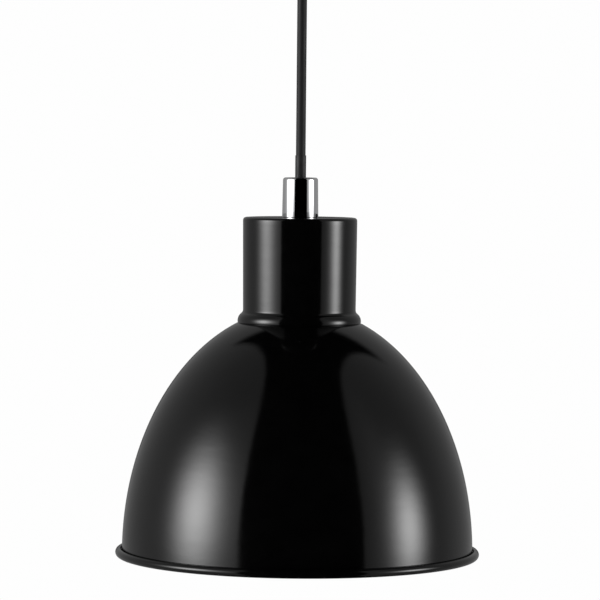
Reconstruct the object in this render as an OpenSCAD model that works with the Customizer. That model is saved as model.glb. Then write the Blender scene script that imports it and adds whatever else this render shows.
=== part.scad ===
// Pendant ceiling light: a spun steel dome that hangs on a round cord from a small ceiling cup.
// The origin is the middle of the ceiling face, +Z points up, and the light hangs below z = 0.
// All sizes are in millimetres.

/* [Overall] */
// Height from the ceiling down to the lowest edge of the shade
drop = 400; // [395:1:402]

/* [Shade] */
// Diameter over the rolled rim
shade_d = 215; // [160:1:300]
// Height from the lowest edge of the rim to the foot of the bead
shade_h = 138.3; // [110:0.1:180]
// Thickness of the spun sheet
shade_wall = 1; // [0.8:0.1:1.4]
// Diameter of the rolled rim's curl
curl_d = 4.9; // [4:0.1:7]
// Radius of the round bead where the shade meets the neck
bead_r = 5.6; // [4.5:0.1:7]
// Height from the foot of the bead to the middle of its curve
bead_rise = 1.2; // [0.8:0.1:3]
// How far the bead stands out from the neck
bead_out = 3.2; // [2:0.1:4]

/* [Neck] */
// Diameter of the neck at its flat top
neck_top_d = 67.3; // [60:0.1:80]
// Diameter of the neck at the bead
neck_foot_d = 66.4; // [60:0.1:80]
// Height from the foot of the bead to the flat top
neck_h = 62.2; // [52:0.1:80]
// Thickness of the neck's sheet
neck_wall = 1; // [0.8:0.1:1.4]
// Radius of the rounded top edge
neck_edge_r = 1.8; // [1.2:0.1:4]
// Width of the flange that carries the shade
flange_w = 6; // [4:0.5:9]

/* [Grip cap and cord] */
// Height of the polished grip cap
cap_h = 23.5; // [22:0.5:32]
// Diameter of the grip cap at its foot
cap_foot_d = 21.3; // [20:0.1:28]
// Diameter of the grip cap under its rounded edge
cap_top_d = 20.6; // [19:0.1:26]
// Wall of the grip cap
cap_wall = 2.2; // [1.8:0.1:3]
// Radius of the grip cap's top edge
cap_edge_r = 1.5; // [0.8:0.1:2]
// Diameter of the cord's jacket
cord_d = 5.7; // [5:0.1:6.4]
// Height of the sleeve above the grip cap
sleeve_h = 13; // [8:0.5:30]
// Thickness of the sleeve's wall
sleeve_wall = 0.3; // [0.3:0.05:1]
// Diameter of one insulated core
core_d = 2.2; // [1.8:0.1:2.4]

/* [Nipple and nut] */
// Diameter of the hollow threaded nipple
nipple_d = 10; // [10:0.5:12]
// Bore of the nipple
nipple_bore_d = 7.5; // [7:0.1:8]
// Length of the nipple
nipple_l = 23; // [22:0.5:24]
// Length of the nipple that is screwed into the grip cap
nipple_grip = 9; // [8:0.5:10]
// Thickness of the toothed washer
washer_t = 0.8; // [0.5:0.1:1.2]
// Thickness of the lock nut
nut_t = 3; // [2.5:0.5:4]
// Width of the lock nut across its flats
nut_af = 14; // [14:0.5:18]

/* [Lampholder] */
// Diameter of the lampholder's body
holder_d = 40; // [40:0.5:46]
// Height of the lampholder's top cap
holder_cap_h = 25; // [24:0.5:28]
// Height of the lampholder's skirt
holder_skirt_h = 33; // [30:0.5:36]
// Wall of the lampholder's cap and skirt
holder_wall = 2.2; // [1.8:0.1:2.4]
// Inside diameter of the screw shell
shell_bore_d = 26.6; // [26.4:0.1:27]
// Length of the screw shell
shell_l = 20; // [16:0.5:22]

/* [Bulb] */
// Diameter of the opal globe
bulb_d = 60; // [45:1:70]
// Length of the bulb from its contact to the end of its globe
bulb_l = 107; // [95:1:125]
// Diameter of the bulb's screw cap
bulb_cap_d = 26; // [25.8:0.1:26.2]
// Length of the bulb's screw cap and contact together
bulb_cap_l = 25.5; // [25:0.5:28]
// Diameter of the globe's neck where it leaves the screw cap
bulb_neck_d = 29; // [28:0.5:30]

/* [Ceiling cup] */
// Diameter of the ceiling cup
canopy_d = 100; // [90:1:120]
// Height of the ceiling cup
canopy_h = 52; // [48:1:54]
// Wall of the ceiling cup
canopy_wall = 1; // [0.8:0.1:1.6]
// Radius of the ceiling cup's lower edge
canopy_edge_r = 7; // [3:0.5:12]
// Diameter of the outlet collar
collar_d = 16; // [14:0.5:22]
// Height of the collar below the ceiling cup
collar_h = 10; // [8:1:12]
// Angle that the cord can swing in the collar's flared mouth
swing_angle = 15; // [10:1:20]

/* [Bracket and terminals] */
// Width of the bracket's strap
strap_w = 18; // [16:1:22]
// Thickness of the bracket's sheet
strap_t = 1.5; // [1:0.1:2]
// Distance between the two ceiling screw slots
slot_pitch = 60; // [54:1:64]
// Width of a ceiling screw slot
slot_w = 4.5; // [4:0.1:5.5]
// Length of a ceiling screw slot from end to end
slot_l = 12; // [8:1:14]
// Depth of the bracket's ears below the ceiling
ear_h = 20; // [18:1:24]
// Distance from the ceiling down to the ceiling cup's side screws
side_screw_z = 12; // [9:1:14]
// Diameter of the side screws
side_screw_d = 4; // [3:0.5:5]
// Distance between the terminal block's poles
pole_pitch = 10; // [9:0.5:11]
// Bore of a terminal tube
tube_bore_d = 3.2; // [3:0.1:3.6]

/* [Clearances] */
// Clearance between a screw or tube and the hole that it passes
hole_gap = 0.2; // [0.1:0.05:0.4]
// Clearance of a screw in its thread
thread_gap = 0.05; // [0.03:0.01:0.1]
// Clearance between nested shells
nest_gap = 0.1; // [0.05:0.05:0.3]
// Clearance between the cord and what grips it
cord_gap = 0.06; // [0.03:0.01:0.1]

/* [Hidden] */

$fn = 96;
small = 32;
steps = 28;
eps = 0.01;
face_gap = 0.02;

// Finishes
black_gloss = [0.03, 0.03, 0.03];
black_plastic = [0.06, 0.06, 0.06];
zinc = [0.75, 0.76, 0.78];
brass = [0.8, 0.66, 0.3];

// Heights of the main levels
rim_z = -drop;
crown_z = rim_z + shade_h;
neck_z = crown_z + neck_h;
cap_z = neck_z + cap_h;
sleeve_z = cap_z + sleeve_h;
canopy_z = -canopy_h;
collar_z = canopy_z - collar_h;

// Shade outline: a quarter ellipse from the rim's curl up to the foot of the bead
curl_r = curl_d / 2;
curl_z = rim_z + curl_r;
curl_x = shade_d / 2 - curl_r;
dome_a = curl_x - curl_r + shade_wall;
neck_r = neck_foot_d / 2;
crown_r = neck_r + bead_out;
crown_up = crown_z - curl_z;
dome_b = crown_up / sqrt(1 - pow(crown_r / dome_a, 2));
crown_angle = asin(crown_up / dome_b);
bead_x = crown_r - bead_r;
bead_z = crown_z + bead_rise;
bead_top = bead_z + sqrt(pow(bead_r, 2) - pow(neck_r + nest_gap - bead_x, 2));
curl_end = 95;

// Point on the dome at parameter t, moved inwards by depth d
function dome_slope(t) = norm([dome_b * cos(t), dome_a * sin(t)]);
function dome_point(t, d) = [
    dome_a * cos(t) - d * dome_b * cos(t) / dome_slope(t),
    curl_z + dome_b * sin(t) - d * dome_a * sin(t) / dome_slope(t)
];
function arc(cx, cy, r, from, to, n) = [
    for (i = [0:n]) [cx + r * cos(from + (to - from) * i / n), cy + r * sin(from + (to - from) * i / n)]
];
function arc_band(cx, cy, r, wall, from, to, n) = concat(
    arc(cx, cy, r, from, to, n), arc(cx, cy, r - wall, to, from, n)
);

// Grip, nipple and lampholder levels
cord_r = cord_d / 2;
nipple_r = nipple_d / 2;
nipple_top = neck_z + nipple_grip;
nipple_z = nipple_top - nipple_l;
washer_z = neck_z - neck_wall - washer_t;
nut_z = washer_z - nut_t;
holder_z = nut_z;
holder_r = holder_d / 2;
holder_split = holder_z - holder_cap_h;
holder_mouth = holder_split - holder_skirt_h;
collet_h = 8;
collet_z = cap_z - cap_wall - collet_h;
set_screw_r = 1;
set_screw_z = neck_z + set_screw_r + 0.3;
set_screw_proud = 0.45;
set_screw_turn = -25;
set_socket_r = 0.6;
cap_foot_edge = 0.4;
collet_slot = 1.2;
washer_r = 9;
washer_teeth = 16;
tooth_w = 1.2;
tooth_depth = 0.7;

// Lampholder inner parts
insert_t = 11;
insert_z = holder_split - 6;
insert_top = insert_z + insert_t;
insert_r = holder_r - 2 * holder_wall - nest_gap;
shell_wall = 0.4;
shell_r = shell_bore_d / 2 + shell_wall;
plate_x = 9;
plate_t = 1.2;
plate_w = 7;
plate_l = 14;
pad_w = plate_w + 2;
pad_l = plate_l - 2;
island_w = 11;
island_l = 15;
island_t = 4;
plate_screw_r = 1.75;
plate_head_r = 3.1;
plate_head_h = 1.7;
plate_seat = insert_top - plate_t;
strip_t = 0.5;
strip_w = 5;
nozzle_edge = 0.6;
bush_h = 5;
bush_af = 15;
bush_top = holder_z - 2;
bush_z = bush_top - bush_h;
earth_y = -8.5;
earth_r = 1.2;
earth_head_r = 2.1;
earth_head_h = 0.9;
tab_t = 1.6;
tab_half = 3;
tab_end = 2.4;

// Bulb levels
pin_z = insert_z - 2.2;
bulb_r = bulb_d / 2;
pin_h = 1.6;
insulator_h = 4.4;
insulator_r = 9.5;
bulb_rim_z = pin_z - bulb_cap_l;
bulb_end_z = pin_z - bulb_l;
globe_z = bulb_end_z + bulb_r;
bulb_wall = 1.2;

// Width and depth of a screwdriver slot in a screw head
driver_w = 0.7;
driver_d = 0.9;

// Ceiling cup and bracket
canopy_r = canopy_d / 2;
collar_bore_r = cord_r + hole_gap;
flare_h = 2;
pivot_z = collar_z + flare_h;
collar_edge = 2;
collar_stub_h = 8;
outlet_nut_af = 16;
outlet_nut_t = 4;
side_head_r = side_screw_d / 2 + 1.6;
side_head_h = 2.4;
side_tip = 2;
strap_half = sqrt(pow(canopy_r - canopy_wall, 2) - pow(strap_w / 2, 2)) - 0.4;
lug_h = 28;
lug_y = cord_r + cord_gap;
saddle_h = 10;
saddle_z = -23;
saddle_t = 1;
saddle_mid_z = saddle_z + saddle_h / 2;
saddle_head_r = 2.6;
saddle_head_h = 2;
saddle_head_gap = 0.09;
saddle_screw_x = lug_y + saddle_t + saddle_head_r + saddle_head_gap;
saddle_screw_r = 1.5;
saddle_margin = 3;
saddle_half = saddle_screw_x + saddle_margin;
lug_w = 2 * saddle_half + 0.8;
tab_w = 18;
block_l = 34;
block_d = 17;
block_h = 14;
block_y = -strap_w / 2 - 4 - block_d / 2;
block_z = -strap_t - block_h;
pole_z = block_z + block_h / 2;
tube_r = tube_bore_d / 2 + 0.9;
tube_l = block_d - 2;
block_screw_x = pole_pitch / 2;
block_screw_r = 1.5;
block_head_r = 2.7;
block_head_h = 2;
block_well_h = 3;
clamp_y = 4;
clamp_r = 1.4;
clamp_head_r = 1.8;
clamp_head_h = 2.6;
clamp_drop = 3.4;
side_screw_r = side_screw_d / 2;

// Routes of the cord and of the cores, as points on their centre lines
cord_route = [
    [0, 0, -60], [0, 0, -67], [0, 0, -74], [0, 0, -81], [0, 0, -88], [0, 0, -95], [0, 0, -102],
    [0, 0, -110], [0, 0, -118], [0, 0, -126], [0, 0, -134], [0, 0, -142], [0, 0, -149],
    [0, 0, -156], [0, 0, -163]
];
head_route = [[0, 0, -11], [0, 0, -23], [0, 0, -35], [0, 0, -48], [0, 0, -60]];
tail_top = cord_route[len(cord_route) - 1].z;
tail_z = holder_z - 8.2;
tail_steps = 4;
tail_route = [for (i = [0:tail_steps]) [0, 0, tail_top + (tail_z - tail_top) * i / tail_steps]];
supply_live_route = [
    [-1.3, 0.8, -11], [-1.3, 0.8, -9.6], [-1.8, -0.8, -7.2], [-4, -5, -5.8], [-7, -9, -6.5],
    [0.5 - pole_pitch, block_y + 9.5, pole_z + 0.5], [-pole_pitch, block_y + 6.5, pole_z],
    [-pole_pitch, block_y + 3.5, pole_z]
];
supply_neutral_route = [for (p = supply_live_route) [-p.x, p.y, p.z]];
supply_earth_route = [
    [0, -1.5, -11], [0, -1.5, -9.6], [0, -4, -7.6], [0, -8, -7.2], [0, block_y + 9.5, pole_z + 0.5],
    [0, block_y + 6.5, pole_z], [0, block_y + 3.5, pole_z]
];
live_route = [
    [-1.3, 0.8, tail_z], [-1.3, 0.8, tail_z - 1.6], [-2.4, 1.8, tail_z - 3.6], [-4.4, 3.6, tail_z - 6],
    [-6.4, 5, insert_top + 3.6], [-8.2, 5.6, insert_top + 1.8], [-11, 5.6, insert_top + 1.2]
];
neutral_route = [
    [1.3, 0.8, tail_z], [1.3, 0.8, tail_z - 1.6], [2.4, -0.2, tail_z - 3.6], [4.4, -2.4, tail_z - 6],
    [6.4, -4.6, insert_top + 3.6], [8.2, -5.6, insert_top + 1.8], [11, -5.6, insert_top + 1.2]
];
earth_route = [
    [0, -1.5, tail_z], [0, -1.5, tail_z - 1.5], [0.6, -3, tail_z - 3], [1.4, -5.5, tail_z - 3.6],
    [2.2, -8.5, tail_z - 3]
];

// Tube of radius r swept along a route, with a ring of sides at each listed point
module swept_tube(route, r, sides) {
    n = len(route);
    along = [
        for (i = [0:n - 1])
            let (d = route[min(i + 1, n - 1)] - route[max(i - 1, 0)]) d / norm(d)
    ];
    rings = [
        for (i = [0:n - 1])
            let (u = cross(along[i], [1, 0.2, 0.1]), a = u / norm(u), b = cross(along[i], a))
                for (k = [0:sides - 1])
                    let (w = 360 * k / sides) route[i] + r * (cos(w) * a + sin(w) * b)
    ];
    walls = [
        for (i = [0:n - 2], k = [0:sides - 1])
            let (m = (k + 1) % sides, a = i * sides, b = a + sides)
                each [[a + k, b + k, b + m], [a + k, b + m, a + m]]
    ];
    ends = [[for (k = [0:sides - 1]) k], [for (k = [sides - 1:-1:0]) (n - 1) * sides + k]];
    polyhedron(points = rings, faces = concat(walls, ends));
}

// Lifts what follows to a height
module at_z(z) {
    translate([0, 0, z]) children();
}

// Upright tube or rod between two heights
module tube(r, bore_r, low, high, sides = 64) {
    at_z(low) difference() {
        cylinder(r = r, h = high - low, $fn = sides);
        at_z(-1) cylinder(r = bore_r, h = high - low + 2, $fn = sides);
    }
}

// Rod along X from one place to another
module rod_x(r, from, to, sides = 32) {
    translate([from, 0, 0]) rotate([0, 90, 0]) cylinder(r = r, h = to - from, $fn = sides);
}

// Rod along Y from one place to another
module rod_y(r, from, to, sides = 32) {
    translate([0, from, 0]) rotate([-90, 0, 0]) cylinder(r = r, h = to - from, $fn = sides);
}

// Block between two opposite corners
module box(low, high) {
    translate(low) cube(high - low);
}

// Zinc-plated steel strap, cut and bent from one sheet
module ceiling_bracket() {
    color(zinc) difference() {
        union() {
            box([-strap_half, -strap_w / 2, -strap_t], [strap_half, strap_w / 2, 0]);
            for (side = [-1, 1])
                translate([side * (strap_half - strap_t / 2), 0, -ear_h / 2])
                    cube([strap_t, strap_w, ear_h], center = true);
            box([-lug_w / 2, lug_y, -lug_h], [lug_w / 2, lug_y + strap_t, -strap_t / 2]);
            box([-tab_w / 2, block_y - block_d / 2 + 2, -strap_t], [tab_w / 2, 0, 0]);
        }
        for (side = [-1, 1]) {
            translate([side * slot_pitch / 2, 0, 0]) screw_slot();
            translate([side * strap_half, 0, -side_screw_z])
                rod_x(side_screw_r + thread_gap, -2 * strap_t, 2 * strap_t);
            translate([side * saddle_screw_x, 0, saddle_mid_z])
                rod_y(saddle_screw_r + thread_gap, 0, lug_y + strap_t + 1);
        }
        translate([block_screw_x, block_y, -strap_t - 1])
            cylinder(r = block_screw_r + thread_gap, h = strap_t + 2, $fn = small);
    }
}

// Slot for a ceiling screw, with round ends
module screw_slot() {
    run = slot_l - slot_w;
    for (end = [-1, 1])
        translate([end * run / 2, 0, -strap_t - 1]) cylinder(d = slot_w, h = strap_t + 2, $fn = small);
    box([-run / 2, -slot_w / 2, -strap_t - 1], [run / 2, slot_w / 2, 1]);
}

// Small steel strap bent round the cord
module cord_saddle() {
    r = lug_y;
    color(zinc) difference() {
        at_z(saddle_z) linear_extrude(saddle_h) intersection() {
            union() {
                circle(r = r + saddle_t, $fn = 64);
                translate([-saddle_half, lug_y - saddle_t]) square([2 * saddle_half, saddle_t]);
            }
            translate([-saddle_half, -saddle_half]) square([2 * saddle_half, saddle_half + lug_y]);
        }
        at_z(saddle_z - 1) cylinder(r = r, h = saddle_h + 2, $fn = 64);
        translate([-r, 0, saddle_z - 1]) cube([2 * r, r + 1, saddle_h + 2]);
        for (side = [-1, 1])
            translate([side * saddle_screw_x, 0, saddle_mid_z])
                rod_y(saddle_screw_r + hole_gap, -1, lug_y + 1);
    }
}

// Two screws that clamp the saddle on the bracket's lug
module saddle_screws() {
    head_y = lug_y - saddle_t;
    color(zinc) for (side = [-1, 1])
        translate([side * saddle_screw_x, 0, saddle_mid_z]) difference() {
            union() {
                rod_y(saddle_screw_r, head_y - eps, lug_y + strap_t + 1.5);
                rod_y(saddle_head_r, head_y - saddle_head_h, head_y);
            }
            translate([0, head_y - saddle_head_h, 0])
                cube([3 * saddle_head_r, 2 * driver_d, driver_w], center = true);
        }
}

// Terminal strip of three poles, with a hollow and two screw wells for each
module terminal_block() {
    low_h = block_h * 0.7;
    foot_h = 4;
    color([0.93, 0.92, 0.88]) difference() {
        union() {
            translate([0, block_y, block_z + low_h / 2]) cube([block_l, block_d, low_h], center = true);
            for (x = [-1:1])
                translate([x * pole_pitch, block_y, block_z + block_h / 2])
                    cube([pole_pitch - 2, block_d, block_h], center = true);
            translate([0, block_y, -strap_t - foot_h / 2])
                cube([block_l - 4, block_d - 4, foot_h], center = true);
        }
        for (x = [-1:1])
            translate([x * pole_pitch, block_y, pole_z]) {
                rod_y(tube_r + thread_gap, -block_d, block_d, 48);
                for (side = [-1, 1])
                    translate([0, side * clamp_y, -block_h])
                        cylinder(r = clamp_head_r + hole_gap, h = block_h, $fn = small);
            }
        translate([block_screw_x, block_y, block_z - 1])
            cylinder(r = block_screw_r + hole_gap, h = block_h + 2, $fn = small);
        translate([block_screw_x, block_y, block_z - 1])
            cylinder(r = block_head_r + hole_gap, h = block_well_h + 1, $fn = small);
    }
}

// Brass tubes, open to the supply at the front and to the light's cores at the back
module terminal_tubes() {
    color(brass) for (x = [-1:1])
        translate([x * pole_pitch, block_y, pole_z]) difference() {
            rod_y(tube_r, -tube_l / 2, tube_l / 2, 48);
            rod_y(tube_bore_d / 2, -tube_l, 0, 48);
            rod_y(core_d / 2 + hole_gap, -1, tube_l, 48);
            for (side = [-1, 1])
                translate([0, side * clamp_y, -2 * tube_r])
                    cylinder(r = clamp_r + thread_gap, h = 2 * tube_r, $fn = small);
        }
}

// Clamp screws, two to each terminal tube
module terminal_screws() {
    color(zinc) for (x = [-1:1], side = [-1, 1])
        translate([x * pole_pitch, block_y + side * clamp_y, pole_z - tube_r - clamp_drop]) difference() {
            union() {
                cylinder(r = clamp_r, h = clamp_head_h + 1.5, $fn = small);
                cylinder(r = clamp_head_r, h = clamp_head_h, $fn = small);
            }
            cube([3 * clamp_head_r, driver_w, 2 * driver_d], center = true);
        }
}

// Screw that fixes the terminal strip to the bracket's tab
module block_screw() {
    color(zinc) translate([block_screw_x, block_y, block_z + block_well_h - block_head_h]) difference() {
        union() {
            cylinder(r = block_screw_r, h = block_h + strap_t - block_well_h + block_head_h, $fn = small);
            cylinder(r = block_head_r, h = block_head_h, $fn = small);
        }
        cube([3 * block_head_r, driver_w, 2 * driver_d], center = true);
    }
}

// Insulated cores from the cord to the terminal strip
module supply_live_core() {
    color([0.35, 0.18, 0.08]) swept_tube(supply_live_route, core_d / 2, 8);
}

module supply_neutral_core() {
    color([0.1, 0.25, 0.65]) swept_tube(supply_neutral_route, core_d / 2, 8);
}

module supply_earth_core() {
    color([0.35, 0.65, 0.15]) swept_tube(supply_earth_route, core_d / 2, 8);
}

// Spun steel cup that covers the bracket, open at the ceiling
module canopy() {
    inner_edge = canopy_edge_r - canopy_wall;
    outline = concat(
        [[canopy_r - canopy_wall, 0], [canopy_r, 0]],
        arc(canopy_r - canopy_edge_r, canopy_z + canopy_edge_r, canopy_edge_r, 0, -90, 10),
        [[0, canopy_z], [0, canopy_z + canopy_wall]],
        arc(canopy_r - canopy_edge_r, canopy_z + canopy_edge_r, inner_edge, -90, 0, 10)
    );
    color(black_gloss) difference() {
        rotate_extrude() polygon(outline);
        at_z(canopy_z - 1) cylinder(r = nipple_r + hole_gap, h = canopy_wall + 2);
        at_z(-side_screw_z) rod_x(side_screw_r + hole_gap, -canopy_r - 1, canopy_r + 1);
    }
}

// Screws through the ceiling cup into the bracket's ears
module canopy_side_screws() {
    tip = strap_half - strap_t - side_tip;
    face = canopy_r + side_head_h;
    color(black_plastic) for (side = [0, 180])
        rotate([0, 0, side]) at_z(-side_screw_z) difference() {
            union() {
                rod_x(side_screw_r, tip, canopy_r + 0.5);
                rod_x(side_head_r, canopy_r + thread_gap, face);
            }
            box([face - driver_d, -driver_w / 2, -canopy_r], [face + 1, driver_w / 2, canopy_r]);
        }
}

// Moulded outlet with a threaded stub above the cup's floor and a flared mouth for the cord
module canopy_collar() {
    stub_top = canopy_z + canopy_wall + collar_stub_h;
    flare_r = collar_bore_r + flare_h * tan(swing_angle) + cord_r * (1 / cos(swing_angle) - 1) + hole_gap;
    color(black_plastic) difference() {
        union() {
            at_z(canopy_z - 1) cylinder(r = nipple_r, h = stub_top - canopy_z + 1);
            rotate_extrude() polygon(concat(
                [[0, collar_z]],
                arc(collar_d / 2 - collar_edge, collar_z + collar_edge, collar_edge, -90, 0, 6),
                [[collar_d / 2, canopy_z - face_gap], [0, canopy_z - face_gap]]
            ));
        }
        at_z(collar_z - 1) cylinder(r = collar_bore_r, h = stub_top - collar_z + 2);
        at_z(collar_z - eps) cylinder(r1 = flare_r, r2 = collar_bore_r, h = flare_h + eps);
    }
}

// Hexagon nut, af across its flats
module hex_nut(af, t, bore_r) {
    difference() {
        cylinder(d = af / cos(30), h = t, $fn = 6);
        at_z(-1) cylinder(r = bore_r, h = t + 2);
    }
}

// Nut that holds the outlet collar in the ceiling cup's floor
module canopy_nut() {
    color(black_plastic) at_z(canopy_z + canopy_wall)
        hex_nut(outlet_nut_af, outlet_nut_t, nipple_r + thread_gap);
}

// The cord inside the ceiling cup, the free cord, and the cord inside the cap and the neck
module cord_head() {
    color(black_plastic) swept_tube(head_route, cord_r, 12);
}

module cord() {
    rings = [for (i = [0:2:len(cord_route) - 1]) cord_route[i]];
    color(black_plastic) swept_tube(rings, cord_r, 12);
}

module cord_tail() {
    color(black_plastic) swept_tube(tail_route, cord_r, 12);
}

// Shrunk sleeve that stiffens the cord where it enters the grip cap
module cord_sleeve() {
    color(black_plastic) tube(cord_r + cord_gap + sleeve_wall, cord_r + cord_gap, cap_z, sleeve_z);
}

// Turned and polished cap, threaded at its foot
module grip_cap() {
    foot_r = cap_foot_d / 2;
    top_r = cap_top_d / 2;
    color([0.85, 0.86, 0.88]) difference() {
        rotate_extrude() polygon(concat(
            [[0, neck_z], [foot_r - cap_foot_edge, neck_z], [foot_r, neck_z + cap_foot_edge]],
            arc(top_r - cap_edge_r, cap_z - cap_edge_r, cap_edge_r, 0, 90, 8),
            [[0, cap_z]]
        ));
        at_z(neck_z - 1) cylinder(r = nipple_r + thread_gap, h = nipple_grip + 2);
        at_z(neck_z + nipple_grip) cylinder(r = top_r - cap_wall, h = cap_h - nipple_grip - cap_wall);
        at_z(neck_z) cylinder(r = cord_r + cord_gap, h = cap_h + 1);
        rotate([0, 0, set_screw_turn]) at_z(set_screw_z) rod_x(set_screw_r + thread_gap, 0, foot_r + 1);
    }
}

// Split nylon collet round the cord
module grip_collet() {
    color([0.85, 0.85, 0.8]) difference() {
        tube(cap_top_d / 2 - cap_wall - nest_gap, cord_r + cord_gap, collet_z, collet_z + collet_h);
        translate([-collet_slot / 2, 0, collet_z - 1]) cube([collet_slot, cap_top_d, collet_h + 2]);
    }
}

// Black set screw that locks the cap on the nipple, with a hexagon socket
module grip_set_screw() {
    foot_r = cap_foot_d / 2;
    color([0.05, 0.05, 0.05]) rotate([0, 0, set_screw_turn]) at_z(set_screw_z) difference() {
        rod_x(set_screw_r, nipple_r + thread_gap, foot_r + set_screw_proud);
        rod_x(set_socket_r, foot_r - 1, foot_r + 1, 6);
    }
}

// Hollow brass nipple that joins the grip cap, the neck and the lampholder
module threaded_nipple() {
    color(brass) tube(nipple_r, nipple_bore_d / 2, nipple_z, nipple_top);
}

// Lock washer with teeth cut into its edge
module toothed_washer() {
    color(zinc) difference() {
        tube(washer_r, nipple_r + hole_gap, washer_z, washer_z + washer_t);
        for (k = [0:washer_teeth - 1])
            rotate([0, 0, 360 * k / washer_teeth])
                translate([washer_r - tooth_depth, -tooth_w / 2, washer_z - 1])
                    cube([2 * tooth_depth, tooth_w, washer_t + 2]);
    }
}

// Nut that clamps the neck against the grip cap
module lock_nut() {
    color(zinc) at_z(nut_z) hex_nut(nut_af, nut_t, nipple_r + thread_gap);
}

// Drawn steel cup, upside down, whose flange carries the shade from inside
module neck() {
    top_r = neck_top_d / 2;
    inner_edge = max(neck_edge_r - neck_wall, 0.2);
    flange_from = crown_angle + 1.2;
    flange_to = acos((neck_r + flange_w) / dome_a);
    depth = shade_wall + nest_gap;
    flange_steps = 4;
    function flange_t(i) = flange_from + (flange_to - flange_from) * i / flange_steps;
    outer = [for (i = [0:flange_steps]) dome_point(flange_t(i), depth)];
    inner = [for (i = [flange_steps:-1:0]) dome_point(flange_t(i), depth + neck_wall)];
    color(black_gloss) difference() {
        rotate_extrude() union() {
            polygon(concat(
                [[0, neck_z - neck_wall], [0, neck_z]],
                arc(top_r - neck_edge_r, neck_z - neck_edge_r, neck_edge_r, 90, 0, 8),
                [[neck_r, bead_top], [neck_r, outer[0].y], [neck_r - neck_wall, inner[flange_steps].y]],
                [[neck_r - neck_wall, bead_top]],
                arc(top_r - neck_edge_r, neck_z - neck_edge_r, inner_edge, 0, 90, 8)
            ));
            polygon(concat(
                [[neck_r - neck_wall, inner[flange_steps].y], [neck_r - eps, outer[0].y]],
                outer,
                inner
            ));
        }
        at_z(neck_z - neck_wall - 1) cylinder(r = nipple_r + hole_gap, h = neck_wall + 2);
    }
}

// Spun steel dome: rolled rim, elliptical wall and a bead that closes against the neck
module shade() {
    foot = -asin((bead_rise - 0.4) / bead_r);
    top = acos((neck_r + nest_gap - bead_x) / bead_r);
    inner_top = acos((neck_r + nest_gap - bead_x) / (bead_r - shade_wall));
    dome_end = crown_angle + 1;
    outer = [for (i = [0:steps]) dome_point(dome_end * i / steps, 0)];
    inner = [for (i = [steps:-1:0]) dome_point(dome_end * i / steps, shade_wall)];
    color(black_gloss) rotate_extrude() union() {
        polygon(concat(outer, inner));
        polygon(arc_band(curl_x, curl_z, curl_r, shade_wall, 180, 360 + curl_end, 24));
        polygon(concat(
            arc(bead_x, bead_z, bead_r, foot - 8, top, 12),
            arc(bead_x, bead_z, bead_r - shade_wall, inner_top, foot - 8, 12)
        ));
    }
}

// Moulded top cap of the lampholder: a low collar over a rounded shoulder
module holder_cap() {
    bush_r = bush_af / 2 / cos(30) + nest_gap;
    collar_r = bush_r + 1.5;
    shoulder_z = holder_z - 3.5;
    body_z = holder_z - 11.5;
    roof_z = holder_z - 6;
    function shoulder(r_in, r_out, low, high, i) =
        [r_in + (r_out - r_in) * sin(90 * i / small), low + (high - low) * cos(90 * i / small)];
    color(black_plastic) difference() {
        rotate_extrude() polygon(concat(
            [[0, holder_z], [collar_r - nozzle_edge, holder_z], [collar_r, holder_z - nozzle_edge]],
            [for (i = [0:4:small]) shoulder(collar_r, holder_r, body_z, shoulder_z, i)],
            [[holder_r, holder_split], [holder_r - holder_wall, holder_split]],
            [for (i = [small:-4:0]) shoulder(bush_r, holder_r - holder_wall, body_z - 1, roof_z, i)],
            [[bush_r, bush_top], [0, bush_top]]
        ));
        at_z(bush_top - 1) cylinder(r = nipple_r + hole_gap, h = holder_z - bush_top + 2);
    }
}

// Brass bush that screws on the nipple, with a tab for the earth screw
module holder_thread_bush() {
    color(brass) difference() {
        union() {
            at_z(bush_z) hex_nut(bush_af - 2 * hole_gap, bush_h, nipple_r + thread_gap);
            box([-tab_half, earth_y - tab_end, bush_z - tab_t], [tab_half, -nipple_r - 1, bush_z + eps]);
        }
        translate([0, earth_y, bush_z - 2 * tab_t])
            cylinder(r = earth_r + thread_gap, h = 3 * tab_t, $fn = small);
        at_z(bush_z - 2 * tab_t) cylinder(r = nipple_r + thread_gap, h = 3 * tab_t);
    }
}

// Screw that clamps the earth core on the bush's tab
module earth_screw() {
    color(zinc) translate([0, earth_y, bush_z - tab_t]) difference() {
        union() {
            at_z(-earth_head_h) cylinder(r = earth_head_r, h = earth_head_h, $fn = small);
            cylinder(r = earth_r, h = tab_t, $fn = small);
        }
        at_z(-earth_head_h) cube([3 * earth_head_r, driver_w, driver_d], center = true);
    }
}

// Ceramic insert that carries the terminals and the screw shell
module holder_insert() {
    color([0.93, 0.92, 0.87]) difference() {
        union() {
            at_z(insert_z) cylinder(r = insert_r, h = insert_t - island_t);
            translate([0, 0, insert_top - island_t / 2]) cube([island_w, island_l, island_t], center = true);
            for (side = [-1, 1])
                translate([side * plate_x, 0, plate_seat - (island_t - plate_t) / 2])
                    cube([pad_w, pad_l, island_t - plate_t], center = true);
        }
        for (side = [-1, 1])
            translate([side * plate_x, 0, insert_z + 2])
                cylinder(r = plate_screw_r + hole_gap, h = insert_t, $fn = small);
    }
}

// Brass plates under the lampholder's terminal screws
module terminal_plates() {
    color(brass) for (side = [-1, 1])
        translate([side * plate_x, 0, plate_seat]) difference() {
            at_z(plate_t / 2) cube([plate_w, plate_l, plate_t], center = true);
            at_z(-1) cylinder(r = plate_screw_r + thread_gap, h = 4, $fn = small);
        }
}

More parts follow.
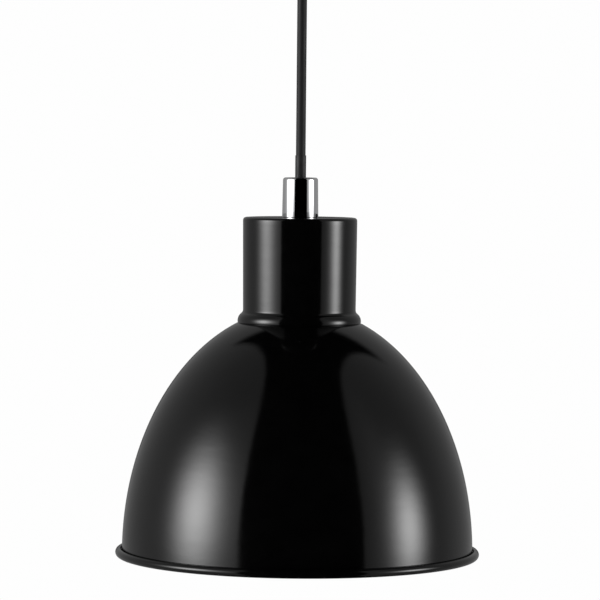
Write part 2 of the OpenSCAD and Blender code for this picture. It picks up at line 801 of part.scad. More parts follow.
// Screws that clamp the live and neutral cores on the plates
module holder_terminal_screws() {
    reach = 7;
    color(zinc) for (side = [-1, 1])
        translate([side * plate_x, 0, insert_top]) difference() {
            union() {
                at_z(-reach) cylinder(r = plate_screw_r, h = reach + 0.5, $fn = small);
                cylinder(r = plate_head_r, h = plate_head_h, $fn = small);
            }
            at_z(plate_head_h) cube([3 * plate_head_r, driver_w, 2 * driver_d], center = true);
        }
}

// Moulded skirt with a spigot that screws into the top cap
module holder_skirt() {
    wall = holder_wall;
    spigot_r = holder_r - wall - nest_gap;
    bore = holder_r - 2 * wall;
    spigot_z = holder_split + 5;
    band_z = holder_split - 8;
    step = 0.8;
    taper = 1.2;
    ledge_r = shell_r + 1.2;
    ledge_z = insert_z - face_gap;
    ledge_t = 1.6;
    color(black_plastic) rotate_extrude() polygon([
        [bore, spigot_z], [spigot_r, spigot_z],
        [spigot_r, holder_split - face_gap], [holder_r, holder_split - face_gap],
        [holder_r, band_z], [holder_r - step, band_z - step],
        [holder_r - taper, holder_mouth + step], [holder_r - taper - step, holder_mouth],
        [holder_r - taper - wall + 0.4, holder_mouth], [holder_r - taper - wall, ledge_z - 2 * ledge_t],
        [bore, ledge_z - ledge_t], [ledge_r, ledge_z - ledge_t], [ledge_r, ledge_z], [bore, ledge_z]
    ]);
}

// Thin brass shell that takes the bulb's cap, with a flange under the insert
module screw_shell() {
    low = insert_z - shell_l;
    flange_r = 9;
    color(brass) rotate_extrude() polygon([
        [shell_r, low], [shell_r, insert_z], [flange_r, insert_z], [flange_r, insert_z - shell_wall],
        [shell_r - shell_wall, insert_z - shell_wall], [shell_r - shell_wall, low]
    ]);
}

// Springy bronze strip that presses on the bulb's contact pin
module centre_contact() {
    half = strip_w / 2;
    root = -7;
    bend = -3;
    tip = 3;
    reach = 4.2;
    drop_h = pin_z - insert_z;
    color([0.8, 0.6, 0.35]) union() {
        box([-half, root, insert_z - strip_t], [half, bend, insert_z]);
        translate([-half, bend, insert_z]) rotate([90, 0, 90]) linear_extrude(strip_w)
            polygon([[0, 0], [reach, drop_h + strip_t], [reach, drop_h], [0, -strip_t]]);
        box([-half, bend + reach - eps, pin_z], [half, tip, pin_z + strip_t]);
    }
}

// Bronze strip that carries the neutral side down to the screw shell
module side_contact() {
    x = shell_r + face_gap;
    reach = 6;
    color([0.8, 0.6, 0.35])
        box([x, -strip_w / 2, insert_z - reach], [x + strip_t, strip_w / 2, insert_z - face_gap]);
}

// Insulated cores from the cord to the lampholder's terminals
module live_core() {
    color([0.35, 0.18, 0.08]) swept_tube(live_route, core_d / 2, 8);
}

module neutral_core() {
    color([0.1, 0.25, 0.65]) swept_tube(neutral_route, core_d / 2, 8);
}

module earth_core() {
    color([0.35, 0.65, 0.15]) swept_tube(earth_route, core_d / 2, 8);
}

// Opal globe with a short neck, cemented into the screw cap
module bulb_globe() {
    stem_r = bulb_neck_d / 2;
    flare = 3;
    join = asin((stem_r + flare) / bulb_r);
    shoulder_z = globe_z + bulb_r * cos(join);
    bend_z = (shoulder_z + bulb_rim_z) / 2 + 2;
    stem_z = bulb_rim_z - flare;
    outer = concat(
        arc(0, globe_z, bulb_r, -90, 90 - join, 18),
        [[stem_r + 1, bend_z], [stem_r, stem_z], [stem_r, bulb_rim_z]]
    );
    inner = concat(
        [[stem_r - bulb_wall, bulb_rim_z], [stem_r - bulb_wall, stem_z], [stem_r + 1 - bulb_wall, bend_z]],
        arc(0, globe_z, bulb_r - bulb_wall, 90 - join, -90, 18)
    );
    color([0.95, 0.95, 0.92]) rotate_extrude() polygon(concat(outer, inner));
}

// Screw cap of the bulb, drawn from thin sheet
module bulb_cap() {
    r = bulb_cap_d / 2;
    sheet = 0.5;
    brim = 0.9;
    brim_h = 2;
    edge = 1.5;
    low = bulb_rim_z + face_gap;
    top = pin_z - pin_h - insulator_h + 0.6;
    seat_r = bulb_neck_d / 2 - bulb_wall;
    color(zinc) rotate_extrude() polygon([
        [seat_r, low], [r + brim, low], [r, low + brim_h], [r, top - edge], [r - edge, top],
        [insulator_r + nest_gap, top], [insulator_r + nest_gap, top - sheet],
        [r - edge - sheet / 2, top - sheet], [r - sheet, top - edge - sheet / 2],
        [r - sheet, low + brim_h], [seat_r, low + 2 * sheet]
    ]);
}

// Glass bead that insulates the contact pin from the screw cap
module bulb_insulator() {
    top = pin_z - pin_h;
    foot = top - insulator_h;
    crown = 5.2;
    color([0.05, 0.05, 0.06]) rotate_extrude() polygon([
        [0, top], [crown, top], [insulator_r, foot + 0.8], [insulator_r, foot - 0.4], [0, foot - 0.4]
    ]);
}

// Contact pin at the end of the bulb
module bulb_contact_pin() {
    r = 4.8;
    edge = 0.8;
    color(brass) rotate_extrude($fn = small) polygon([
        [0, pin_z - pin_h], [r, pin_z - pin_h], [r, pin_z - edge], [r - edge, pin_z - face_gap],
        [0, pin_z - face_gap]
    ]);
}

ceiling_bracket();
cord_saddle();
saddle_screws();
terminal_block();
terminal_tubes();
terminal_screws();
block_screw();
supply_live_core();
supply_neutral_core();
supply_earth_core();
canopy();
canopy_side_screws();
canopy_collar();
canopy_nut();
cord_head();
cord();
cord_tail();
cord_sleeve();
grip_cap();
grip_collet();
grip_set_screw();
threaded_nipple();
toothed_washer();
lock_nut();
neck();
shade();
holder_cap();
holder_thread_bush();
holder_insert();
holder_skirt();
screw_shell();
centre_contact();
side_contact();
terminal_plates();
holder_terminal_screws();
earth_screw();
live_core();
neutral_core();
earth_core();
bulb_globe();
bulb_cap();
bulb_insulator();
bulb_contact_pin();
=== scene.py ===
import math

import bmesh
import bpy
from mathutils import Matrix, Vector


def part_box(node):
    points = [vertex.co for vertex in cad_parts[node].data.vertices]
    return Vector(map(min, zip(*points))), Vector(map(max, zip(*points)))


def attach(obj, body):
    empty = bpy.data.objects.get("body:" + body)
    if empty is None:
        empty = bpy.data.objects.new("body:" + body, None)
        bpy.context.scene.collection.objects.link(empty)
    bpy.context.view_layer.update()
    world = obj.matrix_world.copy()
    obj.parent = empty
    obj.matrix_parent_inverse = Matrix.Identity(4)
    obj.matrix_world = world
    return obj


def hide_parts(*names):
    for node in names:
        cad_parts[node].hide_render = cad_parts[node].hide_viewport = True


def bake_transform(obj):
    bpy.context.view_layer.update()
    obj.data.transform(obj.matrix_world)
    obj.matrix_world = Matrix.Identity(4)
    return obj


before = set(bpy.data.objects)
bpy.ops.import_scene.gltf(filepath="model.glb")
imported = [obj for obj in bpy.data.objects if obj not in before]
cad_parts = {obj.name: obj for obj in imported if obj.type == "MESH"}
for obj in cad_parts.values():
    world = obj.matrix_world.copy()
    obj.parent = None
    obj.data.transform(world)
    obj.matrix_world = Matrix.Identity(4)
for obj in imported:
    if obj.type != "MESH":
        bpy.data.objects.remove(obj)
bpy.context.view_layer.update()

# ---------------------------------------------------------------------------
# Camera: a long lens a little above the crown of the shade, looking gently
# down. It is rolled a touch, because the light hangs a touch askew.
# ---------------------------------------------------------------------------
camera_at = Vector((0.00034, -2.05, -0.152))
aim_at = Vector((0.00034, 0.0, -0.2482))
camera_roll = math.radians(0.53)

camera_data = bpy.data.cameras.new("camera")
camera_data.sensor_width = 36
camera_data.lens = 208.8
camera_data.clip_start = 0.05
camera_data.clip_end = 40
camera = bpy.data.objects.new("camera", camera_data)
bpy.context.scene.collection.objects.link(camera)
turn = (aim_at - camera_at).to_track_quat("-Z", "Y").to_matrix() @ Matrix.Rotation(camera_roll, 3, "Z")
camera.matrix_world = Matrix.Translation(camera_at) @ turn.to_4x4()
bpy.context.scene.camera = camera

# ---------------------------------------------------------------------------
# Hanging cord: round three-core flex in a satin black PVC jacket. It leaves
# the sleeve on the light, runs taut and goes into the outlet of the cup.
# ---------------------------------------------------------------------------
CORD_D = 0.0057
cord_route = [
    (0, 0, -0.060), (0, 0, -0.067), (0, 0, -0.074), (0, 0, -0.081), (0, 0, -0.088),
    (0, 0, -0.095), (0, 0, -0.102), (0, 0, -0.110), (0, 0, -0.118), (0, 0, -0.126),
    (0, 0, -0.134), (0, 0, -0.142), (0, 0, -0.149), (0, 0, -0.156), (0, 0, -0.163),
]


def finish(name, colour, roughness, metallic=0.0):
    """A new surface finish. Returns the material and its shader."""
    material = bpy.data.materials.new(name)
    material.use_nodes = True
    shader = material.node_tree.nodes["Principled BSDF"]
    shader.inputs["Base Color"].default_value = (*colour, 1)
    shader.inputs["Roughness"].default_value = roughness
    shader.inputs["Metallic"].default_value = metallic
    return material, shader


def noise(material, scale, detail=3.0, stretch=(1, 1, 1)):
    """Noise fixed to the piece, stretched along its axes. Returns the noise's factor."""
    nodes, links = material.node_tree.nodes, material.node_tree.links
    place = nodes.new("ShaderNodeTexCoord")
    stretched = nodes.new("ShaderNodeMapping")
    stretched.inputs["Scale"].default_value = stretch
    grain = nodes.new("ShaderNodeTexNoise")
    grain.inputs["Scale"].default_value = scale
    grain.inputs["Detail"].default_value = detail
    links.new(place.outputs["Object"], stretched.inputs["Vector"])
    links.new(stretched.outputs["Vector"], grain.inputs["Vector"])
    return grain.outputs["Fac"]


def vary(material, shader, factor, socket, low, high):
    """Lets a factor move one of the shader's numbers between two values."""
    nodes, links = material.node_tree.nodes, material.node_tree.links
    spread = nodes.new("ShaderNodeMapRange")
    spread.inputs["From Min"].default_value = 0.3
    spread.inputs["From Max"].default_value = 0.7
    spread.inputs["To Min"].default_value = low
    spread.inputs["To Max"].default_value = high
    links.new(factor, spread.inputs["Value"])
    links.new(spread.outputs["Result"], shader.inputs[socket])


def tint(material, shader, factor, dark, light):
    """Lets a factor blend the surface's colour from dark to light."""
    nodes, links = material.node_tree.nodes, material.node_tree.links
    ramp = nodes.new("ShaderNodeValToRGB")
    ramp.color_ramp.elements[0].position = 0.3
    ramp.color_ramp.elements[1].position = 0.7
    ramp.color_ramp.elements[0].color = (*dark, 1)
    ramp.color_ramp.elements[1].color = (*light, 1)
    links.new(factor, ramp.inputs["Fac"])
    links.new(ramp.outputs["Color"], shader.inputs["Base Color"])


def relief(material, shader, factor, depth, strength=1.0):
    """Raises the surface by a factor times depth, in metres."""
    nodes, links = material.node_tree.nodes, material.node_tree.links
    bump = nodes.new("ShaderNodeBump")
    bump.inputs["Distance"].default_value = depth
    bump.inputs["Strength"].default_value = strength
    links.new(factor, bump.inputs["Height"])
    if shader.inputs["Normal"].is_linked:
        links.new(shader.inputs["Normal"].links[0].from_socket, bump.inputs["Normal"])
    links.new(bump.outputs["Normal"], shader.inputs["Normal"])


def piece(bm, name, body, slot, stands_for, *finishes, crease=34):
    """Turns a finished bmesh into a piece that rides on a body and stands for CAD nodes."""
    for face in bm.faces:
        face.smooth = True
    for edge in bm.edges:
        edge.smooth = edge.calc_face_angle(0) < math.radians(crease)
    mesh = bpy.data.meshes.new(name)
    bm.to_mesh(mesh)
    bm.free()
    made = bpy.data.objects.new(name, mesh)
    bpy.context.scene.collection.objects.link(made)
    for material in finishes:
        mesh.materials.append(material)
    if body:
        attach(made, body)
    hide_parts(*stands_for)
    return made


def cord_length(route, cuts, sides=40):
    """A round cord along a straight route, with a ring of vertices at each point and cuts between."""
    bm = bmesh.new()
    first = Vector(route[0])
    bmesh.ops.create_circle(
        bm, segments=sides, radius=CORD_D / 2, cap_ends=True, matrix=Matrix.Translation(first)
    )
    ring = list(bm.edges)
    for start, end in zip(route, route[1:]):
        step = (Vector(end) - Vector(start)) / (cuts + 1)
        for _ in range(cuts + 1):
            grown = bmesh.ops.extrude_edge_only(bm, edges=ring)["geom"]
            new = [part for part in grown if isinstance(part, bmesh.types.BMVert)]
            bmesh.ops.translate(bm, verts=new, vec=step)
            ring = [
                part for part in grown
                if isinstance(part, bmesh.types.BMEdge) and all(vert in new for vert in part.verts)
            ]
    bmesh.ops.contextual_create(bm, geom=ring)
    bmesh.ops.recalc_face_normals(bm, faces=bm.faces)
    return bm


cord_jacket, shader = finish("cord_jacket", (0.014, 0.014, 0.015), 0.58)
shader.inputs["Specular IOR Level"].default_value = 0.4
jacket_grain = noise(cord_jacket, 900, 4, (1, 1, 0.08))
vary(cord_jacket, shader, jacket_grain, "Roughness", 0.52, 0.66)
tint(cord_jacket, shader, jacket_grain, (0.011, 0.011, 0.012), (0.018, 0.018, 0.019))
relief(cord_jacket, shader, jacket_grain, 0.00003)
relief(cord_jacket, shader, noise(cord_jacket, 2600, 2), 0.00001)

hanging_cord = piece(
    cord_length(cord_route, 3), "hanging_cord", None, "cord_jacket", ["cord"], cord_jacket
)
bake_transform(hanging_cord)

# The same cord goes on up into the ceiling cup, where it bends in the outlet as
# the light swings, and down into the neck, where its three cores come out.
bend_h = 0.0024
low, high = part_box("cord_head")
run = [(0, 0, low.z + bend_h * i / 4) for i in range(5)] + [(0, 0, high.z)]
cord_in_cup = piece(cord_length(run, 0), "cord_in_cup", None, "cord_jacket", ["cord_head"], cord_jacket)
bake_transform(cord_in_cup)
low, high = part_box("cord_tail")
run = [(0, 0, low.z + (high.z - low.z) * i / 4) for i in range(5)]
piece(cord_length(run, 0), "cord_in_neck", "lamp", "cord_jacket", ["cord_tail"], cord_jacket)

# ---------------------------------------------------------------------------
# Sleeve: a short black tube shrunk over the cord where it enters the grip,
# so that the cord can't chafe on the metal. Its ends are cut square.
# ---------------------------------------------------------------------------


def arc(centre_x, centre_z, radius, start, stop, steps=8):
    """Points of a round stretch of an outline, from one angle to another in degrees."""
    points = []
    for i in range(steps + 1):
        angle = math.radians(start + (stop - start) * i / steps)
        points.append((centre_x + radius * math.cos(angle), centre_z + radius * math.sin(angle)))
    return points


def turned(outline, steps=128):
    """A round piece: a closed outline of (radius, height) points spun a full turn about an upright axis."""
    bm = bmesh.new()
    corners = [bm.verts.new((x, 0, z)) for x, z in outline]
    for start, end in zip(corners, corners[1:] + corners[:1]):
        if (start.co - end.co).length > 1e-9:
            bm.edges.new((start, end))
    bmesh.ops.remove_doubles(bm, verts=bm.verts, dist=1e-7)
    bmesh.ops.spin(
        bm, geom=bm.verts[:] + bm.edges[:], cent=(0, 0, 0), axis=(0, 0, 1),
        angle=2 * math.pi, steps=steps, use_merge=True,
    )
    bmesh.ops.remove_doubles(bm, verts=bm.verts, dist=1e-6)
    bmesh.ops.recalc_face_normals(bm, faces=bm.faces)
    return bm


low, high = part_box("cord_sleeve")
sleeve_r = high.x
sleeve_bore = CORD_D / 2 + 0.00004
sleeve_edge = 0.0001
shrink_sleeve, shader = finish("shrink_sleeve", (0.016, 0.016, 0.017), 0.55)
shader.inputs["Specular IOR Level"].default_value = 0.4
sleeve_grain = noise(shrink_sleeve, 700, 4, (1, 1, 0.3))
vary(shrink_sleeve, shader, sleeve_grain, "Roughness", 0.44, 0.58)
tint(shrink_sleeve, shader, sleeve_grain, (0.013, 0.013, 0.014), (0.02, 0.02, 0.021))
relief(shrink_sleeve, shader, sleeve_grain, 0.00004)
piece(
    turned([
        (sleeve_bore, low.z),
        *arc(sleeve_r - sleeve_edge, low.z + sleeve_edge, sleeve_edge, -90, 0, 3),
        *arc(sleeve_r - sleeve_edge, high.z - sleeve_edge, sleeve_edge, 0, 90, 3),
        (sleeve_bore, high.z),
    ], 64),
    "shrunk_sleeve", "lamp", "shrink_sleeve", ["cord_sleeve"], shrink_sleeve,
)

# ---------------------------------------------------------------------------
# Grip cap: turned from brass bar, polished and chrome-plated. It is hollow for
# the nylon grip, has a rounded top edge, and screws on the nipple at its foot.
# ---------------------------------------------------------------------------
low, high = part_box("grip_cap")
cap_foot_r = high.x
cap_top_r = 0.0103
cap_edge = 0.0015
cap_foot_edge = 0.0004
outlet_edge = 0.0003
cap_floor = 0.0022
thread_r = 0.00505
thread_h = 0.009
hollow_r = cap_top_r - cap_floor
outlet_r = CORD_D / 2 + 0.00006
chrome, shader = finish("polished_chrome", (0.93, 0.935, 0.945), 0.04, 1.0)
polish = noise(chrome, 340, 5, (1, 1, 14))
vary(chrome, shader, polish, "Roughness", 0.03, 0.075)
tint(chrome, shader, noise(chrome, 60, 2), (0.9, 0.905, 0.92), (0.95, 0.955, 0.96))
relief(chrome, shader, polish, 0.000002, 0.5)
piece(
    turned([
        (thread_r, low.z),
        (cap_foot_r - cap_foot_edge, low.z),
        *arc(cap_foot_r - cap_foot_edge, low.z + cap_foot_edge, cap_foot_edge, -90, 0, 4),
        *arc(cap_top_r - cap_edge, high.z - cap_edge, cap_edge, 0, 90, 10),
        *arc(outlet_r + outlet_edge, high.z - outlet_edge, outlet_edge, 90, 180, 4),
        (outlet_r, high.z - cap_floor),
        (hollow_r, high.z - cap_floor),
        (hollow_r, low.z + thread_h),
        (thread_r, low.z + thread_h),
    ], 160),
    "chrome_grip", "lamp", "polished_chrome", ["grip_cap"], chrome,
)

# ---------------------------------------------------------------------------
# Set screw: a small blackened screw low in the side of the grip cap, with a
# hexagon socket. It locks the cap on the nipple.
# ---------------------------------------------------------------------------
low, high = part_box("grip_set_screw")
screw_r = (high.z - low.z) / 2
screw_edge = 0.0003
screw_proud = 0.00045
screw_l = cap_foot_r + screw_proud - thread_r
screw_turn = math.radians(-25)
socket_r = 0.0006
socket_depth = 0.001
black_steel, shader = finish("black_steel", (0.02, 0.02, 0.021), 0.35, 0.6)
oxide = noise(black_steel, 900, 4)
vary(black_steel, shader, oxide, "Roughness", 0.28, 0.45)
tint(black_steel, shader, oxide, (0.014, 0.014, 0.015), (0.035, 0.034, 0.034))
relief(black_steel, shader, oxide, 0.00001)
bm = bmesh.new()
bmesh.ops.create_circle(bm, segments=48, radius=screw_r, cap_ends=True)
bmesh.ops.reverse_faces(bm, faces=bm.faces)
side = bmesh.ops.extrude_face_region(bm, geom=bm.faces[:])["geom"]
end_verts = [part for part in side if isinstance(part, bmesh.types.BMVert)]
bmesh.ops.translate(bm, verts=end_verts, vec=(0, 0, screw_l))
bmesh.ops.recalc_face_normals(bm, faces=bm.faces)
end = [max(bm.faces, key=lambda face: face.calc_center_median().z)]
bmesh.ops.bevel(
    bm, geom=list(end[0].edges), offset=screw_edge, affect="EDGES", segments=3, profile=0.5, material=-1,
)
end = [max(bm.faces, key=lambda face: face.calc_center_median().z)]
bmesh.ops.inset_region(bm, faces=end, thickness=screw_r - screw_edge - socket_r)
for vert in end[0].verts:
    turn_to = math.atan2(vert.co.y, vert.co.x) % (math.pi / 3) - math.pi / 6
    vert.co.xy *= math.cos(math.pi / 6) / math.cos(turn_to)
sunk = bmesh.ops.extrude_discrete_faces(bm, faces=end)["faces"]
bmesh.ops.translate(bm, verts=sunk[0].verts, vec=(0, 0, -socket_depth))
bmesh.ops.transform(
    bm, verts=bm.verts,
    matrix=Matrix.Rotation(screw_turn, 4, "Z")
    @ Matrix.Translation((thread_r, 0, (low.z + high.z) / 2))
    @ Matrix.Rotation(math.pi / 2, 4, "Y"),
)
piece(bm, "grip_screw", "lamp", "black_steel", ["grip_set_screw"], black_steel)

# ---------------------------------------------------------------------------
# Shade: a dome spun from mild steel sheet, with its rim rolled outwards into a
# curl and a bead formed round its crown. High-gloss black enamel outside and
# matt white inside, sprayed and baked.
# ---------------------------------------------------------------------------
low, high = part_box("shade")
sheet = 0.001
curl_r = 0.00245
curl_x = high.x - curl_r
curl_z = low.z + curl_r
neck_foot_r = 0.0332
bead_r = 0.0056
bead_out = 0.0032
bead_rise = 0.0012
crown_r = neck_foot_r + bead_out
crown_z = low.z + 0.1383
bead_x = crown_r - bead_r
bead_z = crown_z + bead_rise
fit = 0.0001
curl_end = 455
bead_start, inner_bead_start = -9, 55
dome_a = curl_x - curl_r + sheet
dome_b = (crown_z - curl_z) / math.sqrt(1 - (crown_r / dome_a) ** 2)
dome_top = math.asin((crown_z - curl_z) / dome_b)
dome_stop = dome_top - 0.012


def dome_point(angle, depth):
    """A point on the dome's outline at that angle in radians, moved inwards by depth."""
    across, up = dome_a * math.cos(angle), dome_b * math.sin(angle)
    normal = Vector((dome_b * math.cos(angle), dome_a * math.sin(angle))).normalized()
    return across - depth * normal.x, curl_z + up - depth * normal.y


def dome_arc(start, stop, depth, steps):
    """Points along the dome from one angle to another, moved inwards by depth."""
    return [dome_point(start + (stop - start) * i / steps, depth) for i in range(steps + 1)]


lip_r = 0.0022
lip_x = neck_foot_r + fit + lip_r
lip_angle = math.degrees(math.acos((lip_x - bead_x) / (bead_r + lip_r)))
lip_z = bead_z + (bead_r + lip_r) * math.sin(math.radians(lip_angle))
crease_in, crease_up = 0.0003, 0.00003
edge_at = math.radians(curl_end)
shade_outline = [
    *arc(curl_x, curl_z, curl_r - sheet, curl_end, 180, 26),
    *dome_arc(0.0, dome_stop, 0, 56),
    (crown_r - crease_in, crown_z + crease_up),
    *arc(bead_x, bead_z, bead_r, bead_start, lip_angle, 22),
    *arc(lip_x, lip_z, lip_r, lip_angle + 180, 180, 6),
    *arc(bead_x, bead_z, bead_r - sheet, inner_bead_start, bead_start, 14),
    *dome_arc(dome_stop, 0.0, sheet, 48),
    *arc(curl_x, curl_z, curl_r, 180, curl_end, 34),
    *arc(
        curl_x + (curl_r - sheet / 2) * math.cos(edge_at),
        curl_z + (curl_r - sheet / 2) * math.sin(edge_at),
        sheet / 2, curl_end - 360, curl_end - 180, 6,
    )[1:-1],
]

black_enamel, shader = finish("black_gloss_paint", (0.002, 0.002, 0.0021), 0.1)
shader.inputs["IOR"].default_value = 1.5
peel = noise(black_enamel, 420, 2)
spun_rings = noise(black_enamel, 45, 3, (1, 1, 3))
vary(black_enamel, shader, noise(black_enamel, 35, 3), "Roughness", 0.085, 0.125)
pigment = noise(black_enamel, 90, 2)
tint(black_enamel, shader, pigment, (0.0011, 0.0011, 0.0012), (0.0019, 0.0019, 0.002))
relief(black_enamel, shader, peel, 0.000005)
relief(black_enamel, shader, spun_rings, 0.00005)

white_inside, shader = finish("white_inside", (0.82, 0.82, 0.8), 0.55)
spray = noise(white_inside, 1300, 4)
vary(white_inside, shader, spray, "Roughness", 0.48, 0.62)
tint(white_inside, shader, noise(white_inside, 25, 3), (0.79, 0.79, 0.77), (0.84, 0.84, 0.82))
relief(white_inside, shader, spray, 0.00002)

bm = turned(shade_outline, 256)
for face in bm.faces:
    at = face.calc_center_median()
    if curl_z < at.z < crown_z - 2 * crease_in:
        skin_r = dome_a * math.sqrt(1 - ((at.z - curl_z) / dome_b) ** 2)
        if math.hypot(at.x, at.y) < skin_r - sheet / 2:
            face.material_index = 1
piece(bm, "spun_shade", "lamp", "black_gloss_paint", ["shade"], black_enamel, white_inside)

# ---------------------------------------------------------------------------
# Neck: a cup drawn from steel sheet, upside down, in the same black enamel. Its
# wide mouth is flanged under the crown of the shade and its flat top is holed.
# ---------------------------------------------------------------------------
low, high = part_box("neck")
neck_top_r = 0.03365
neck_edge = 0.0018
hole_r = 0.0052
flange_w = 0.006
flange_start = dome_top + 0.021
flange_stop = math.acos((neck_foot_r + flange_w) / dome_a)
neck_rings = 10
ring_from, ring_gap = 0.004, 0.0055
under = sheet + fit
bm = turned([
    (hole_r, high.z),
    *arc(neck_top_r - neck_edge, high.z - neck_edge, neck_edge, 90, 0, 12),
    *(
        (neck_top_r + (neck_foot_r - neck_top_r) * i / neck_rings, high.z - ring_from - ring_gap * i)
        for i in range(neck_rings)
    ),
    (neck_foot_r, bead_z + bead_rise),
    *dome_arc(flange_start, flange_stop, under, 6),
    *dome_arc(flange_stop, flange_start, under + sheet, 6),
    (neck_foot_r - sheet, bead_z),
    *arc(neck_top_r - neck_edge, high.z - neck_edge, neck_edge - sheet, 0, 90, 8),
    (hole_r, high.z - sheet),
], 192)
for face in bm.faces:
    at = face.calc_center_median()
    radius = math.hypot(at.x, at.y)
    if at.z < high.z - sheet / 2 and radius < neck_foot_r - sheet / 2:
        face.material_index = 1
piece(bm, "drawn_neck", "lamp", "black_gloss_paint", ["neck"], black_enamel, white_inside)

# ---------------------------------------------------------------------------
# Ceiling cup: spun steel in the same black enamel, open at the ceiling, with a
# rounded lower edge and a hole in its floor for the cord's outlet.
# ---------------------------------------------------------------------------
low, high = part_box("canopy")
cup_r = high.x
cup_edge = 0.007
bm = turned([
    *arc(cup_r - sheet / 2, high.z - sheet / 2, sheet / 2, 180, 0, 6),
    *arc(cup_r - cup_edge, low.z + cup_edge, cup_edge, 0, -90, 16),
    (hole_r, low.z),
    (hole_r, low.z + sheet),
    *arc(cup_r - cup_edge, low.z + cup_edge, cup_edge - sheet, -90, 0, 12),
], 192)
piece(bm, "ceiling_cup", "ceiling", "black_gloss_paint", ["canopy"], black_enamel)

# ---------------------------------------------------------------------------
# Side screws: two blackened screws with slotted cheese heads, one each side.
# They hold the cup to the bracket's ears.
# ---------------------------------------------------------------------------


def slotted_screw(shank_r, head_r, head_h, length, slot_w, slot_d):
    """A screw on +Z with a slotted head on top, its end at the origin, with rolled rings for its thread."""
    pitch = shank_r * 0.4
    rings = int((length - head_h) / pitch) - 1
    outline = [(0, 0), (shank_r * 0.8, 0)]
    for i in range(rings):
        outline += [(shank_r * 0.97, pitch * (i + 0.4)), (shank_r * 0.84, pitch * (i + 0.9))]
    rounding = head_h * 0.3
    outline += [
        (shank_r * 0.9, length - head_h), (head_r, length - head_h),
        *arc(head_r - rounding, length - rounding, rounding, 0, 90, 5), (0, length),
    ]
    bm = turned(outline, 48)
    top = length - rounding / 2
    for side in (-1, 1):
        bmesh.ops.bisect_plane(
            bm, geom=bm.verts[:] + bm.edges[:] + bm.faces[:], dist=1e-7,
            plane_co=(0, side * slot_w / 2, 0), plane_no=(0, 1, 0),
        )
    walls = [
        vert for vert in bm.verts
        if vert.co.z > top and abs(abs(vert.co.y) - slot_w / 2) < 1e-6
    ]
    edges = {edge for vert in walls for edge in vert.link_edges if edge.other_vert(vert) in walls}
    bmesh.ops.bevel(
        bm, geom=list(edges), offset=slot_w * 0.04, affect="EDGES", segments=1, profile=0.5,
        material=-1, clamp_overlap=True,
    )
    sunk = [
        vert for vert in bm.verts
        if vert.co.z > length - head_h * 0.5 and abs(vert.co.y) < slot_w * 0.47
    ]
    bmesh.ops.translate(bm, verts=sunk, vec=(0, 0, -slot_d))
    return bm


low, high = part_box("canopy_side_screws")
behind_ear = 0.0035
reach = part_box("ceiling_bracket")[1].x - behind_ear
for name, side in (("cup_screw_right", 1), ("cup_screw_left", -1)):
    bm = slotted_screw(
        shank_r=0.002, head_r=0.0036, head_h=0.0024, length=high.x - reach, slot_w=0.0008, slot_d=0.0012
    )
    place = Matrix.Rotation(0 if side > 0 else math.pi, 4, "Z") @ Matrix.Translation(
        (reach, 0, (low.z + high.z) / 2)
    ) @ Matrix.Rotation(math.pi / 2, 4, "Y")
    bmesh.ops.transform(bm, matrix=place, verts=bm.verts)
    piece(bm, name, "ceiling", "black_steel", ["canopy_side_screws"], black_steel)

# ---------------------------------------------------------------------------
# Cord outlet: a black moulded collar under the cup, with a flared mouth so that
# the cord isn't bent sharply, and a threaded stub that a nut holds inside.
# ---------------------------------------------------------------------------
low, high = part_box("canopy_collar")
collar_r = high.x
collar_foot_edge = 0.002
collar_top_edge = 0.0003
seat_gap = 0.00002
stub_r = 0.005
stub_rings = 7
stub_pitch = 0.001
flare_h = 0.002
cup_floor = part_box("canopy")[0].z
collar_bore = CORD_D / 2 + 0.0002
flare_r = collar_bore + 0.00085
moulding, shader = finish("black_moulding", (0.022, 0.022, 0.023), 0.28)
mould_grain = noise(moulding, 500, 4)
vary(moulding, shader, mould_grain, "Roughness", 0.22, 0.36)
tint(moulding, shader, noise(moulding, 140, 3), (0.017, 0.017, 0.018), (0.029, 0.028, 0.028))
relief(moulding, shader, mould_grain, 0.00001)
stub = [(stub_r, cup_floor + 0.0012)]
for i in range(stub_rings):
    crest_z = cup_floor + 0.0016 + stub_pitch * i
    stub += [(stub_r - 0.00005, crest_z), (stub_r - 0.0005, crest_z + stub_pitch / 2)]
piece(
    turned([
        (flare_r, low.z),
        *arc(collar_r - collar_foot_edge, low.z + collar_foot_edge, collar_foot_edge, -90, 0, 10),
        (collar_r, cup_floor - collar_top_edge),
        (collar_r - collar_top_edge, cup_floor - seat_gap),
        (stub_r, cup_floor - seat_gap),
        *stub,
        (stub_r - 0.0003, high.z),
        (collar_bore, high.z),
        (collar_bore, low.z + flare_h),
    ], 96),
    "cord_outlet", "ceiling", "black_moulding", ["canopy_collar"], moulding,
)

# ---------------------------------------------------------------------------
# Fittings cut, bent, drilled or pressed to the CAD shapes: each keeps its shape
# and gets the small edge that tumbling, moulding or deburring leaves on it.
# ---------------------------------------------------------------------------


def eased(node, name, body, slot, material, edge=0.0001):
    """A copy of a CAD node, merged, with its sharp edges eased."""
    bm = bmesh.new()
    bm.from_mesh(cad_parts[node].data)
    bmesh.ops.remove_doubles(bm, verts=bm.verts, dist=2e-6)
    bmesh.ops.dissolve_limit(
        bm, angle_limit=math.radians(1.2), use_dissolve_boundaries=False,
        verts=bm.verts, edges=bm.edges,
    )
    sharp = [e for e in bm.edges if e.is_manifold and e.calc_face_angle(0) > math.radians(40)]
    bmesh.ops.bevel(
        bm, geom=sharp, offset=edge, offset_type="OFFSET", affect="EDGES", segments=2, profile=0.5,
        material=-1, clamp_overlap=True,
    )
    bmesh.ops.triangulate(bm, faces=[face for face in bm.faces if len(face.verts) > 4])
    return piece(bm, name, body, slot, [node], material)


